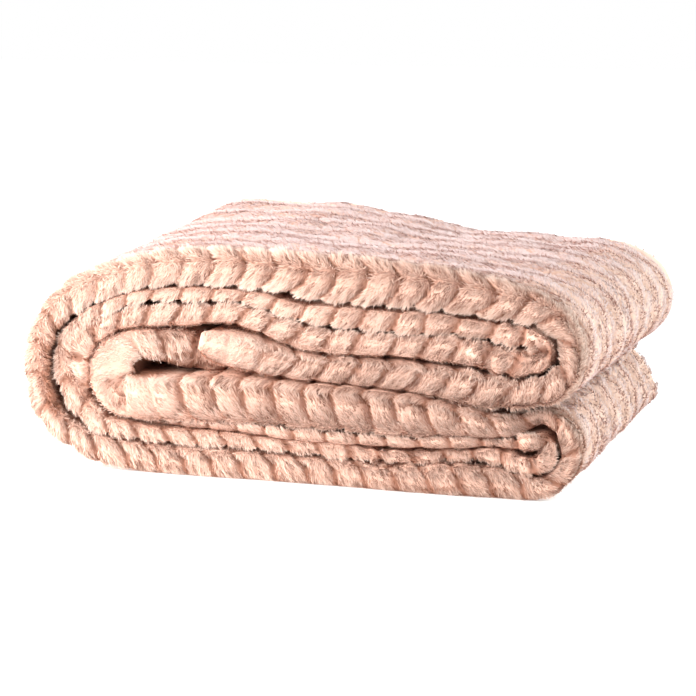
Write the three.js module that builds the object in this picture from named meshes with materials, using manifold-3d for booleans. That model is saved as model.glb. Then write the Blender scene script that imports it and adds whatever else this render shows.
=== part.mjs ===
import * as THREE from 'three';
import Module from 'manifold-3d';

// A plush throw blanket carved with plaited cables, folded into four layers of a strip that is
// itself folded back and forth, so that its front shows rounded folds in pairs.
// Millimetres. X runs along the strip, Y from the front folds to the back edges, Z up.

// Driving dimensions
const DEPTH = 380; // front folds to back edges
const FRONT = -DEPTH / 2;
const BACK = DEPTH / 2;
const STITCH = 25; // one chevron along a cable
const CABLE = 50; // one cable, across
const SLANT = 0.75; // how far a chevron leans along the cable for each millimetre across
const RELIEF = 6; // depth of the furrows on a full layer
const FULL_HALF = 14; // half thickness of a full layer
const NOSE = 8; // depth of a full layer's rounded front fold
const NOSE_ARC = 20; // length of a quarter of that round
const BLUNT = 0.6; // 1 for a round like a circle's, and less for a blunter one
const SLIT = 0.8; // half the space between a layer's two plies, at the back edges
const SLIT_START = 10; // how far behind the rounded fold that space begins
const FIRST_FURROW = NOSE_ARC + 15; // first row of the cables behind the front fold
const CABLE_ROWS = 14; // half cables on the face of the outer layers
const UPPER_APEX = 12; // where the chevrons point, off the front fold, in the upper half
const LOWER_APEX = UPPER_APEX - CABLE / 2; // and in the lower half
const LEFT_TURN = 160; // length of the turn at the left, over which they change
const BACK_FOLD = 22; // depth of the fold that joins the pair of layers at the back
const BACK_ROUND = 4; // how far it stands out past the back edges
const REST_BAND = 1.6; // what lies this low is pressed flat on the surface
const COLOUR = '#d8a294';

// Runs of the two bands, in the order in which the cloth goes. Each row is one section of a layer:
// its middle (x, z), half its thickness, and how far its front fold is set back.
const COLUMNS = ['x', 'z', 'half', 'set'];

const OUTER_RUNS = {
  upperReturn: [
    [-73, 106, 7.5, 5],
    [-65, 104.4, 12, 2],
    [-49, 102.2, 14.8, 0],
    [-26, 99.3, 14.8, 0],
    [4, 92.7, 12, 2],
    [40, 89.7, 11, 3],
    [91, 87.4, 12.9, 2],
    [131, 82.9, 13.6, 2],
    [162, 79.5, 13.4, 0],
  ],
  upperFold: [
    [190, 80, 11.3, 0],
    [209, 86, 10.5, 0],
    [220, 98.6, 9.6, 0],
    [222, 114, 8.6, 2],
    [215, 131, 9.2, 3],
    [196, 143, 11, 2],
  ],
  top: [
    [166, 148.8, 14, 0],
    [130, 153, 14.7, 0],
    [91, 155.6, 16, 0],
    [36, 159.6, 17, 0],
    [-17, 164, 14.8, 0],
    [-54, 165, 13.7, 2],
    [-87, 163, 13, 2],
    [-118, 158.4, 12.2, 0],
    [-148, 149, 12, 0],
  ],
  leftTurn: [
    [-177.5, 135.5, 12, 0],
    [-199.4, 117.4, 9.6, 0],
    [-210.6, 94, 9.7, 1],
    [-212, 72, 9.7, 1],
    [-207.4, 49, 10.8, 1],
    [-193.4, 30.8, 10.6, 1],
    [-171, 19.8, 10.8, 0],
  ],
  bottom: [
    [-146.5, 14.4, 10.6, 0],
    [-118, 11.8, 11, 0],
    [-71, 11, 11, 0],
    [-20, 11, 11, 2],
    [36, 10.4, 10.4, 2],
    [91, 10, 10, 0],
    [131, 11, 11, 0],
    [170, 11.6, 11.6, 2],
  ],
  lowerFold: [
    [200, 10.5, 8, 3],
    [215, 19, 8, 2],
    [222.5, 33, 7.5, 2],
    [221.5, 46.5, 7.5, 4],
    [213, 57, 6.5, 9],
  ],
  middle: [
    [199, 60.4, 5.2, 18],
    [186, 57, 7.6, 9],
    [172, 54, 9.6, 2],
    [155, 55, 10.9, 0],
    [131, 56.5, 12.7, 0],
    [92, 58.8, 16.7, 0],
    [36, 61, 17.7, 0],
    [3, 62.1, 18.9, 0],
    [-45, 62.8, 19.4, 0],
    [-80, 61.6, 19.4, 0],
    [-112, 60.8, 19.4, 0],
  ],
  leftBulb: [
    [-130, 60.5, 20, 0],
    [-142, 65, 22, 0],
    [-143.8, 77.5, 23.8, 0],
    [-139, 91, 17.8, 0],
  ],
  tongue: [
    [-128, 99.6, 12.2, 0],
    [-111, 101.2, 12.6, 1],
    [-92, 99.2, 14.8, 5],
    [-79, 95.4, 14.6, 11],
    [-69, 90, 9.5, 17],
    [-59, 85.4, 5, 22],
  ],
};

const INNER_RUNS = {
  tail: [
    [-172, 62, 4.6, 4],
    [-173, 76.6, 6.8, 2],
    [-173.4, 91, 10.2, 0],
    [-167, 102.4, 10, 0],
  ],
  upperLower: [
    [-154.5, 111, 8.8, 0],
    [-138, 118.4, 8, 0],
    [-115, 123.7, 8.6, 0],
    [-87, 125.7, 8.7, 2],
    [-45, 129.2, 8.2, 3],
    [-17, 123, 9, 3],
    [4, 116, 10.2, 2],
    [36, 111.5, 9.6, 0],
    [91, 110, 8.2, 2],
    [130, 109, 11, 3],
    [158, 105.2, 9.6, 4],
  ],
  upperCurl: [
    [180, 103.4, 9.8, 3],
    [196, 105, 9, 0],
    [204, 112.6, 8.6, 0],
    [196, 121.4, 7.6, 2],
  ],
  upperUpper: [
    [180, 123.8, 7.8, 6],
    [163, 124.6, 6.2, 7],
    [130, 128, 7.4, 4],
    [91, 128.6, 8.6, 2],
    [36, 131.5, 8.6, 2],
    [4, 134.6, 6.6, 5],
    [-17, 140.3, 6, 5],
    [-45, 144.4, 4.4, 3],
    [-87, 142.8, 5.1, 2],
    [-118, 139.5, 4.7, 1],
    [-144, 130.8, 4.7, 1],
  ],
  leftTurn: [
    [-161, 122.6, 6.6, 1],
    [-176.6, 111.8, 6.6, 3],
    [-189.8, 95.2, 6.8, 5],
    [-190.6, 78.6, 8, 6],
    [-185.6, 62.4, 8.8, 5],
    [-176.6, 51.4, 10, 3],
    [-164.4, 41, 9.2, 1],
  ],
  lowerLower: [
    [-152.4, 35, 7.8, 0],
    [-136, 33, 7, 0],
    [-112, 30.4, 5.6, 2],
    [-80, 30, 6.6, 2],
    [-45, 30.2, 6.2, 2],
    [3, 28.4, 5, 3],
    [36, 27.8, 5, 4],
    [91, 26.4, 4.6, 3],
    [131, 29.8, 5, 6],
    [165, 31, 4.6, 6],
  ],
  lowerCurl: [
    [183, 27, 5.6, 3],
    [198, 26.6, 6.8, 0],
    [207, 34, 6.6, 0],
    [204.4, 44.2, 7.6, -1],
    [194, 44.8, 7.2, -5],
  ],
  lowerUpper: [
    [180, 41.4, 4.6, 3],
    [165, 40.4, 3.4, 4],
    [131, 39, 4, 3],
    [92, 36.3, 4.3, 2],
    [36, 36.7, 3.7, 2],
    [3, 37.2, 4, 2],
    [-45, 39.5, 2.9, 5],
    [-80, 39.3, 2.7, 7],
    [-117, 39, 2, 10],
  ],
};

// How the pile departs from straight rows behind its front: at the back edges the top is lower by
// dip (a share of the height), the left shoulder stands higher, and the right ends draw in.
const TOP_DIP = [
  { x: -90, dip: 0 },
  { x: -20, dip: 0.07 },
  { x: 50, dip: 0.125 },
  { x: 120, dip: 0.09 },
  { x: 190, dip: 0.045 },
];
const SHOULDER = { x: -190, width: 58, lift: 27, full: 140 };
const LEFT_DRAW = { from: -60, to: -200, by: 9 };
const RIGHT_DRAW = { from: 90, to: 220 };
// By height, how far the right end is drawn in at the back
const RIGHT_TABLE = [
  { x: 0, by: 6 },
  { x: 12, by: 12 },
  { x: 22, by: 17 },
  { x: 34, by: 25 },
  { x: 46, by: 31 },
  { x: 57, by: 34 },
  { x: 63, by: 26 },
  { x: 73, by: 8 },
];
const UNEVEN = { size: 1.5, alongX: 47, alongY: 190, full: 180 };

const clamp01 = (v) => Math.min(1, Math.max(0, v));
const smooth = (a, b, v) => {
  const t = clamp01((v - a) / (b - a));
  return t * t * (3 - 2 * t);
};
const mix = (a, b, t) => a + (b - a) * t;

function tableAt(rows, x, key) {
  if (x <= rows[0].x) return rows[0][key];
  for (let k = 1; k < rows.length; k += 1) {
    const [a, b] = [rows[k - 1], rows[k]];
    if (x <= b.x) return mix(a[key], b[key], smooth(a.x, b.x, x));
  }
  return rows[rows.length - 1][key];
}

// The smooth line through all rows of a band, with its length and its normal at any distance s.
// The normal points to the band's outer face: out of the pile, or towards the middle of it.
function bandLine(runs) {
  const rows = [];
  for (const [run, list] of Object.entries(runs)) {
    for (const values of list) {
      const row = { run };
      COLUMNS.forEach((name, k) => { row[name] = values[k]; });
      rows.push(row);
    }
  }
  const knots = rows.map((r) => new THREE.Vector3(r.x, r.half, r.z));
  const curve = new THREE.CatmullRomCurve3(knots, false, 'centripetal');
  const steps = 16;
  const samples = [];
  let s = 0;
  for (let k = 0; k <= steps * (rows.length - 1); k += 1) {
    const t = k / (steps * (rows.length - 1));
    const p = curve.getPoint(t);
    const before = samples[samples.length - 1];
    if (before) s += Math.hypot(p.x - before.x, p.z - before.z);
    const row = Math.min(rows.length - 2, Math.floor(k / steps));
    const set = mix(rows[row].set, rows[row + 1].set, smooth(0, 1, k / steps - row));
    samples.push({ s, x: p.x, z: p.z, half: p.y, set, row: k / steps });
  }
  const length = s;

  const pointAt = (distance) => {
    const d = Math.min(length, Math.max(0, distance));
    let [low, high] = [0, samples.length - 1];
    while (high - low > 1) {
      const mid = (low + high) >> 1;
      if (samples[mid].s <= d) low = mid;
      else high = mid;
    }
    const [a, b] = [samples[low], samples[high]];
    const t = (d - a.s) / (b.s - a.s);
    return Object.fromEntries(COLUMNS.map((name) => [name, mix(a[name], b[name], t)]));
  };

  const at = (distance) => {
    const reach = 3;
    const here = pointAt(distance);
    const back = pointAt(distance - reach);
    const ahead = pointAt(distance + reach);
    const run = Math.hypot(ahead.x - back.x, ahead.z - back.z);
    return { ...here, nx: (ahead.z - back.z) / run, nz: -(ahead.x - back.x) / run };
  };

  const start = (run) => samples.find((p) => rows[Math.floor(p.row)].run === run).s;
  return { at, length, start, samples };
}

// Everything is laid out straight first, and this gives the place in the finished pile.
function settle(x, y, z) {
  const t = (y - FRONT) / DEPTH;
  const right = tableAt(RIGHT_TABLE, z, 'by') * smooth(RIGHT_DRAW.from, RIGHT_DRAW.to, x);
  const left = LEFT_DRAW.by * smooth(LEFT_DRAW.from, LEFT_DRAW.to, x);
  const bulge = Math.exp(-(((x - SHOULDER.x) / SHOULDER.width) ** 2)) * clamp01(z / SHOULDER.full);
  const wave = Math.sin(x / UNEVEN.alongX + y / UNEVEN.alongY) * clamp01(z / UNEVEN.full);
  const height = z * (1 - t * tableAt(TOP_DIP, x, 'dip')) + t * SHOULDER.lift * bulge + UNEVEN.size * wave;
  return new THREE.Vector3(x - t * (right + left), y, height < REST_BAND ? 0 : height);
}

// Share of the way from a chevron's point (0) to the border of its cable (1), at w across the cloth.
function acrossCable(w, apex) {
  const turn = (((w - apex) % CABLE) + CABLE) % CABLE;
  return Math.min(turn, CABLE - turn) / (CABLE / 2);
}

// A point of a band's skin: w runs across the cloth from the front fold, positive on the outer face.
function skin(line, s, w, apex, ridge) {
  const share = acrossCable(w, apex);
  const fromEnds = smooth(0, 3 * STITCH, Math.min(s, line.length - s));
  const lean = SLANT * (share - 0.5) * (CABLE / 2) * fromEnds;
  const p = line.at(s + lean);
  const thick = THREE.MathUtils.clamp(p.half / FULL_HALF, 0.4, 1.15);
  const [nose, arc] = [NOSE * thick, NOSE_ARC * thick];
  const turn = (Math.PI / 2) * THREE.MathUtils.clamp(w / arc, -1, 1);
  const front = FRONT + p.set;
  const y = Math.abs(w) <= arc
    ? front + nose * (1 - Math.cos(turn) ** BLUNT)
    : mix(front, FRONT, Math.abs(w) / DEPTH) + Math.abs(w) - (arc - nose);
  const out = Math.sign(turn) * Math.abs(Math.sin(turn)) ** BLUNT;
  const level = p.half * out;
  const low = smooth(3, 16, p.z + p.nz * level);
  const depth = RELIEF * Math.min(1, p.half / FULL_HALF) * low;
  const furrow = depth * (ridge ? 0.55 * share ** 2 : 0.75 + 0.25 * share);
  const n = level - furrow * out;
  return settle(p.x + p.nx * n, y + furrow * Math.cos(turn), p.z + p.nz * n);
}

function flat(line, s, y, n) {
  const p = line.at(s);
  return settle(p.x + p.nx * n(p), y, p.z + p.nz * n(p));
}

// One closed section of a band: outer face, rounded front fold, inner face, and the space
// between its two plies, which is open at the back.
function bandSection(line, s, ridge, faceRows, apexAt) {
  const apex = apexAt(s);
  const points = [flat(line, s, BACK, (p) => 0.85 * p.half)];
  for (const w of faceRows) points.push(skin(line, s, w, apex, ridge));
  for (const part of [1, 0.5, 0, -0.5, -1]) points.push(skin(line, s, part * NOSE_ARC, apex, ridge));
  points.push(flat(line, s, 0, (p) => -p.half));
  points.push(flat(line, s, BACK, (p) => -0.85 * p.half));
  points.push(flat(line, s, BACK, () => -SLIT));
  points.push(flat(line, s, FRONT + line.at(s).set + NOSE + SLIT_START, () => 0));
  points.push(flat(line, s, BACK, () => SLIT));
  return points;
}

// Joins a row of closed sections into one closed surface.
function loft(sections) {
  const size = sections[0].length;
  const vertices = sections.flat().flatMap((p) => [p.x, p.y, p.z]);
  const faces = [];
  for (let k = 0; k + 1 < sections.length; k += 1) {
    for (let j = 0; j < size; j += 1) {
      const [a, b] = [k * size + j, k * size + ((j + 1) % size)];
      faces.push(a, b, b + size, a, b + size, a + size);
    }
  }
  for (const [index, flip] of [[0, true], [sections.length - 1, false]]) {
    for (const face of capFaces(sections[index])) {
      const ids = face.map((j) => j + index * size);
      faces.push(...(flip ? ids.reverse() : ids));
    }
  }
  return { vertices: new Float32Array(vertices), faces: new Uint32Array(faces) };
}

// Triangles that close one section, each in the section's own order.
function capFaces(points) {
  const along = new THREE.Vector3().subVectors(points[0], points[points.length - 3]);
  const up = Math.abs(along.z) > Math.abs(along.x) ? 'z' : 'x';
  const outline = points.map((p) => new THREE.Vector2(p.y, p[up]));
  const turn = Math.sign(THREE.ShapeUtils.area(outline));
  return THREE.ShapeUtils.triangulateShape(outline, []).map((face) => {
    const same = Math.sign(THREE.ShapeUtils.area(face.map((k) => outline[k]))) === turn;
    return same ? face : [face[0], face[2], face[1]];
  });
}

function volumeOf({ vertices, faces }) {
  const point = (k) => new THREE.Vector3().fromArray(vertices, 3 * k);
  let sum = 0;
  for (let k = 0; k < faces.length; k += 3) {
    sum += point(faces[k]).dot(point(faces[k + 1]).cross(point(faces[k + 2]))) / 6;
  }
  return sum;
}

function outward(mesh) {
  if (volumeOf(mesh) < 0) mesh.faces.reverse();
  return mesh;
}

function bandMesh(line, faceRows) {
  const turnStart = line.start('leftTurn');
  const apexAt = (s) => mix(UPPER_APEX, LOWER_APEX, smooth(turnStart, turnStart + LEFT_TURN, s));
  const count = 2 * Math.round(line.length / STITCH);
  const sections = [];
  for (let k = 0; k <= count; k += 1) {
    sections.push(bandSection(line, (line.length * k) / count, k % 2 === 1, faceRows, apexAt));
  }
  return outward(loft(sections));
}

// The back fold: it joins the inner ply of the outer band to the facing ply of the inner band.
function backFoldMesh(outer, inner) {
  const first = 14;
  const last = outer.start('leftBulb') - 12;
  const count = Math.round((last - first) / (1.6 * STITCH));
  const sections = [];
  let met = 0;
  for (let k = 0; k <= count; k += 1) {
    const s = mix(first, last, k / count);
    const p = outer.at(s);
    let [best, gap] = [null, Infinity];
    for (const q of inner.samples) {
      const d = Math.hypot(q.x - p.x, q.z - p.z);
      if (q.s > met && q.s < met + 140 + 400 * (k === 0) && d < gap) [best, gap] = [q, d];
    }
    met = best.s;
    const o = (y) => flat(outer, s, y, (r) => -(r.half + SLIT) / 2);
    const i = (y) => flat(inner, met, y, (r) => (r.half + SLIT) / 2);
    const nose = o(BACK).add(i(BACK)).multiplyScalar(0.5);
    nose.y = BACK + BACK_ROUND;
    sections.push([o(BACK - BACK_FOLD), o(BACK + 1), nose, i(BACK + 1), i(BACK - BACK_FOLD)]);
  }
  return outward(loft(sections));
}

const wasm = await Module();
wasm.setup();

function solidOf({ vertices, faces }) {
  return new wasm.Manifold(new wasm.Mesh({ numProp: 3, vertProperties: vertices, triVerts: faces }));
}

function geometryOf(solid) {
  const mesh = solid.getMesh();
  const geometry = new THREE.BufferGeometry();
  geometry.setAttribute('position', new THREE.BufferAttribute(new Float32Array(mesh.vertProperties), 3));
  geometry.setIndex(new THREE.BufferAttribute(new Uint32Array(mesh.triVerts), 1));
  geometry.computeVertexNormals();
  geometry.computeBoundingBox();
  return geometry;
}

const outerLine = bandLine(OUTER_RUNS);
const innerLine = bandLine(INNER_RUNS);
const cableRows = Array.from({ length: CABLE_ROWS }, (_, k) => FIRST_FURROW + k * (CABLE / 2)).reverse();
const plainRows = [FIRST_FURROW + 160];

const blanket = solidOf(bandMesh(outerLine, cableRows))
  .add(solidOf(bandMesh(innerLine, plainRows)))
  .add(solidOf(backFoldMesh(outerLine, innerLine)));

const geometry = geometryOf(blanket);
const middle = geometry.boundingBox.getCenter(new THREE.Vector3());
const material = new THREE.MeshStandardMaterial({ color: COLOUR, roughness: 0.95, metalness: 0 });
const throwBlanket = new THREE.Mesh(geometry, material);
throwBlanket.name = 'throw_blanket';
throwBlanket.position.set(-middle.x, -middle.y, -geometry.boundingBox.min.z);

const part = new THREE.Group();
part.add(throwBlanket);

export default part;
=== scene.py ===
"""A plush throw blanket, carved in plaited cables and folded, dressed over its plain solid."""
import math
from functools import lru_cache

import bpy
import numpy as np
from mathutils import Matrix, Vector

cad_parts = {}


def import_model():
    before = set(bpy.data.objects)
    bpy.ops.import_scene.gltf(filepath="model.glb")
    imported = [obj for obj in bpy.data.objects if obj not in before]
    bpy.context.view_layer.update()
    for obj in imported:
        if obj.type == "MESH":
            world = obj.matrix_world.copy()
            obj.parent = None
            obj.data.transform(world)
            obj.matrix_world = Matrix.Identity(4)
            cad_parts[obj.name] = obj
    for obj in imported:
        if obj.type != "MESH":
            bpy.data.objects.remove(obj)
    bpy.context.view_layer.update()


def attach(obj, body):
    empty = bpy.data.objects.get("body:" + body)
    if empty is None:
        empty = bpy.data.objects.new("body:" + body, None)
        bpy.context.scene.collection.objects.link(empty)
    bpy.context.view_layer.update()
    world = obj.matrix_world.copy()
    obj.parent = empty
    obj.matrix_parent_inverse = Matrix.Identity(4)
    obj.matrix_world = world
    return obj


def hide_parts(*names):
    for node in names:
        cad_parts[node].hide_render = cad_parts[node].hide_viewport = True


MM = 0.001

# Sizes of the folded cloth in millimetres, as in the solid
DEPTH = 380
FRONT = -DEPTH / 2
BACK = DEPTH / 2
STITCH = 25
CABLE = 50
RELIEF = 6
FULL_HALF = 14
THIN_HALF = 11
NOSE_DEPTH = 8
NOSE_ARC = 20
SLIT = 0.8
SLIT_START = 10
HEM = [(0, 0.7), (0.9, 0.9), (3, 0.98)]
BLUNT = 0.6
BACK_FOLD = 22
BACK_ROUND = 4
REST_BAND = 1.6
# The middle of the straight pile's box is the part's origin
SHIFT = np.array([-0.14, 0.12, 0])

# Rows of the two bands in the order in which the cloth goes: the middle of a layer (x, z), half its
# thickness, and how far its front fold is set back.
OUTER_RUNS = {
    "upper_return": [
        (-73, 106, 7.5, 5),
        (-65, 104.4, 12, 2),
        (-49, 102.2, 14.8, 0),
        (-26, 99.3, 14.8, 0),
        (4, 92.7, 12, 2),
        (40, 89.7, 11, 3),
        (91, 87.4, 12.9, 2),
        (131, 82.9, 13.6, 2),
        (162, 79.5, 13.4, 0),
    ],
    "upper_fold": [
        (190, 80, 11.3, 0),
        (209, 86, 10.5, 0),
        (220, 98.6, 9.6, 0),
        (222, 114, 8.6, 2),
        (215, 131, 9.2, 3),
        (196, 143, 11, 2),
    ],
    "top": [
        (166, 148.8, 14, 0),
        (130, 153, 14.7, 0),
        (91, 155.6, 16, 0),
        (36, 159.6, 17, 0),
        (-17, 164, 14.8, 0),
        (-54, 165, 13.7, 2),
        (-87, 163, 13, 2),
        (-118, 158.4, 12.2, 0),
        (-148, 149, 12, 0),
    ],
    "left_turn": [
        (-177.5, 135.5, 12, 0),
        (-199.4, 117.4, 9.6, 0),
        (-210.6, 94, 9.7, 1),
        (-212, 72, 9.7, 1),
        (-207.4, 49, 10.8, 1),
        (-193.4, 30.8, 10.6, 1),
        (-171, 19.8, 10.8, 0),
    ],
    "bottom": [
        (-146.5, 14.4, 10.6, 0),
        (-118, 11.8, 11, 0),
        (-71, 11, 11, 0),
        (-20, 11, 11, 2),
        (36, 10.4, 10.4, 2),
        (91, 10, 10, 0),
        (131, 11, 11, 0),
        (170, 11.6, 11.6, 2),
    ],
    "lower_fold": [
        (200, 10.5, 8, 3),
        (215, 19, 8, 2),
        (222.5, 33, 7.5, 2),
        (221.5, 46.5, 7.5, 4),
        (213, 57, 6.5, 9),
    ],
    "middle": [
        (199, 60.4, 5.2, 18),
        (186, 57, 7.6, 9),
        (172, 54, 9.6, 2),
        (155, 55, 10.9, 0),
        (131, 56.5, 12.7, 0),
        (92, 58.8, 16.7, 0),
        (36, 61, 17.7, 0),
        (3, 62.1, 18.9, 0),
        (-45, 62.8, 19.4, 0),
        (-80, 61.6, 19.4, 0),
        (-112, 60.8, 19.4, 0),
    ],
    "left_bulb": [
        (-130, 60.5, 20, 0),
        (-142, 65, 22, 0),
        (-143.8, 77.5, 23.8, 0),
        (-139, 91, 17.8, 0),
    ],
    "tongue": [
        (-128, 99.6, 12.2, 0),
        (-111, 101.2, 12.6, 1),
        (-92, 99.2, 14.8, 5),
        (-79, 95.4, 14.6, 11),
        (-69, 90, 9.5, 17),
        (-59, 85.4, 5, 22),
    ],
}

INNER_RUNS = {
    "tail": [
        (-172, 62, 4.6, 4),
        (-173, 76.6, 6.8, 2),
        (-173.4, 91, 10.2, 0),
        (-167, 102.4, 10, 0),
    ],
    "upper_lower": [
        (-154.5, 111, 8.8, 0),
        (-138, 118.4, 8, 0),
        (-115, 123.7, 8.6, 0),
        (-87, 125.7, 8.7, 2),
        (-45, 129.2, 8.2, 3),
        (-17, 123, 9, 3),
        (4, 116, 10.2, 2),
        (36, 111.5, 9.6, 0),
        (91, 110, 8.2, 2),
        (130, 109, 11, 3),
        (158, 105.2, 9.6, 4),
    ],
    "upper_curl": [
        (180, 103.4, 9.8, 3),
        (196, 105, 9, 0),
        (204, 112.6, 8.6, 0),
        (196, 121.4, 7.6, 2),
    ],
    "upper_upper": [
        (180, 123.8, 7.8, 6),
        (163, 124.6, 6.2, 7),
        (130, 128, 7.4, 4),
        (91, 128.6, 8.6, 2),
        (36, 131.5, 8.6, 2),
        (4, 134.6, 6.6, 5),
        (-17, 140.3, 6, 5),
        (-45, 144.4, 4.4, 3),
        (-87, 142.8, 5.1, 2),
        (-118, 139.5, 4.7, 1),
        (-144, 130.8, 4.7, 1),
    ],
    "left_turn": [
        (-161, 122.6, 6.6, 1),
        (-176.6, 111.8, 6.6, 3),
        (-189.8, 95.2, 6.8, 5),
        (-190.6, 78.6, 8, 6),
        (-185.6, 62.4, 8.8, 5),
        (-176.6, 51.4, 10, 3),
        (-164.4, 41, 9.2, 1),
    ],
    "lower_lower": [
        (-152.4, 35, 7.8, 0),
        (-136, 33, 7, 0),
        (-112, 30.4, 5.6, 2),
        (-80, 30, 6.6, 2),
        (-45, 30.2, 6.2, 2),
        (3, 28.4, 5, 3),
        (36, 27.8, 5, 4),
        (91, 26.4, 4.6, 3),
        (131, 29.8, 5, 6),
        (165, 31, 4.6, 6),
    ],
    "lower_curl": [
        (183, 27, 5.6, 3),
        (198, 26.6, 6.8, 0),
        (207, 34, 6.6, 0),
        (204.4, 44.2, 7.6, -1),
        (194, 44.8, 7.2, -5),
    ],
    "lower_upper": [
        (180, 41.4, 4.6, 3),
        (165, 40.4, 3.4, 4),
        (131, 39, 4, 3),
        (92, 36.3, 4.3, 2),
        (36, 36.7, 3.7, 2),
        (3, 37.2, 4, 2),
        (-45, 39.5, 2.9, 5),
        (-80, 39.3, 2.7, 7),
        (-117, 39, 2, 10),
    ],
}

# The carved pattern at the start of each run: how far from the front fold the points of the
# chevrons run, whether a leaf darkens with painted shade towards its point (1) or towards its outer
# end (0), the share of the relief that is left on the faces, and how much a leaf leans along the band
OUTER_PATTERN = [
    ("upper_return", 19, 1, 0.9, 0.6),
    ("upper_fold", 14, 1, 1, 0.75),
    ("top", 5, 1, 0.12, 0.8),
    ("left_turn", 4, 1, 0.15, 0.7),
    ("bottom", -13, 0, 0.3, 0.7),
    ("lower_fold", -15, 0, 0.9, 0.6),
    ("tongue", -17, 0.4, 0.4, 0.5),
]
INNER_PATTERN = [
    ("tail", 12, 1, 1, 0.5),
    ("upper_curl", 12, 1, 1, 0.5),
    ("upper_upper", 13, 1, 1, 0.3),
    ("left_turn", 9, 1, 1, 0.5),
    ("lower_lower", -9, 0, 1, 0.5),
    ("lower_upper", -12, 0, 1, 0.2),
]

# Stretches of the bands: run, millimetres from its start, run, millimetres from its start, amount.
# open: no other layer lies on the face
# pale: little relief, seams left full of blades, and the painted shade mostly left out
# shaded: painted shade on the inner half of the front fold, and none on its outer half
# dim: painted shade all over
# hollow: painted shade behind the front fold
# soft: less painted shade in the grooves beside the front fold
# dusk: painted shade on the front fold
# crumpled: small uneven folds, with their depth in millimetres as the amount
OUTER_STRETCHES = {
    "open": [("upper_fold", -30, "bottom", -10, 1), ("lower_fold", 0, "middle", 30, 1)],
    "pale": [
        ("upper_return", -40, "upper_return", 50, 1),
        ("left_bulb", -30, "tongue", 10, 0.9),
        ("top", 245, "left_turn", 10, 0.4),
    ],
    "shaded": [("left_turn", 8, "left_turn", 125, 0.9)],
    "dim": [("tongue", 48, "tongue", 110, 0.7)],
    "hollow": [("middle", 300, "tongue", 200, 1)],
    "soft": [
        ("upper_return", 70, "upper_return", 230, 0.4),
        ("upper_fold", 20, "upper_fold", 110, 0.6),
    ],
    "dusk": [
        ("upper_return", 40, "top", 150, 0.5),
        ("upper_return", 110, "top", 80, 0.5),
        ("bottom", 150, "middle", 250, 0.5),
        ("bottom", 240, "middle", 170, 0.5),
    ],
    "crumpled": [("bottom", 190, "bottom", 300, 3.6)],
}
INNER_STRETCHES = {
    "shaded": [("left_turn", 10, "left_turn", 105, 0.7)],
    "dim": [("upper_curl", 0, "upper_curl", 40, 0.35)],
    "soft": [("upper_curl", 15, "upper_curl", 60, 0.6)],
    "dusk": [
        ("upper_lower", 150, "upper_upper", 150, 0.5),
        ("upper_lower", 240, "upper_upper", 80, 0.5),
        ("lower_lower", 150, "lower_upper", 150, 0.5),
        ("lower_lower", 240, "lower_upper", 80, 0.5),
    ],
    "crumpled": [
        ("upper_curl", -45, "upper_upper", 25, 4.5),
        ("lower_lower", 150, "lower_upper", 20, 2.5),
    ],
}

# Creases: run, millimetres from its start and from the front fold, to run, millimetres from its
# start and from the front fold, width, depth
OUTER_CREASES = [
    ("top", 40, 115, "upper_fold", 125, 127, 5, 3),
    ("upper_fold", 125, 127, "upper_fold", 71, 118, 5, 3.5),
    ("upper_fold", 71, 118, "upper_fold", 45, 128, 4, 3),
    ("upper_fold", 99, 49, "upper_fold", 61, 76, 4, 3),
    ("upper_fold", 75, 232, "upper_fold", 39, 200, 5, 3.5),
    ("upper_fold", 110, 175, "upper_fold", 50, 168, 4, 2.5),
    ("top", 298, 319, "top", 246, 262, 4, 2.5),
    ("top", 246, 295, "top", 210, 240, 4, 2.5),
    ("top", 150, 210, "top", 105, 232, 4, 2.5),
    ("top", 90, 60, "top", 30, 78, 5, 2.5),
    ("lower_fold", 60, 150, "lower_fold", 20, 165, 5, 3),
    ("lower_fold", 56, 250, "lower_fold", 24, 262, 4, 3),
    ("bottom", 183, 3, "bottom", 201, 20, 2, 2.5),
    ("bottom", 191, -8, "bottom", 211, -10, 2, 2.5),
    ("bottom", 226, -4, "bottom", 236, 8, 2, 2.5),
    ("bottom", 253, 4, "bottom", 288, -1, 2, 2.5),
    ("middle", 105, 0, "middle", 79, 13, 2.5, 4),
    ("middle", 145, -3, "middle", 133, 4, 2.5, 3),
    ("left_bulb", 26, 16, "left_bulb", 16, -2, 4, 8),
    ("left_bulb", 17, 9, "left_bulb", 10, 3, 7, 4),
    ("left_bulb", 4, -15, "left_bulb", 5, -4, 2.5, 5),
    ("left_bulb", 5, -4, "left_bulb", 14, -6, 2.5, 4),
]
INNER_CREASES = [
    ("lower_lower", 148, -4, "lower_lower", 160, 2, 2, 2.5),
    ("lower_lower", 196, 0, "lower_lower", 222, -2, 2, 2.5),
    ("lower_lower", 236, 3, "lower_lower", 262, 1, 2, 2.5),
    ("upper_curl", 47, 2, "upper_curl", 22, -2, 2, 4),
    ("upper_curl", 12, 4, "upper_curl", 20, -4, 2.5, 4),
]

# How the pile departs from straight rows behind its front
TOP_DIP = [(-90, 0), (-20, 0.07), (50, 0.125), (120, 0.09), (190, 0.045)]
SHOULDER = {"x": -190, "width": 58, "lift": 27, "full": 140}
LEFT_DRAW = {"from": -60, "to": -200, "by": 9}
RIGHT_DRAW = {"from": 90, "to": 220}
# Height, and how far the right end is drawn in at the back
RIGHT_TABLE = [(0, 6), (12, 12), (22, 17), (34, 25), (46, 31), (57, 34), (63, 26), (73, 8)]
# The hollow of the left bulb: where the cloth starts to swell on the middle run, how far, and the
# distances from the front fold between which it swells and grows dark with painted shade
HOLLOW = {"start": (150, 230), "swell": 7, "from": 45, "to": 120, "dark": (8, 17)}
UNEVEN = {"size": 1.5, "along_x": 47, "along_y": 190, "full": 180}

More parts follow.
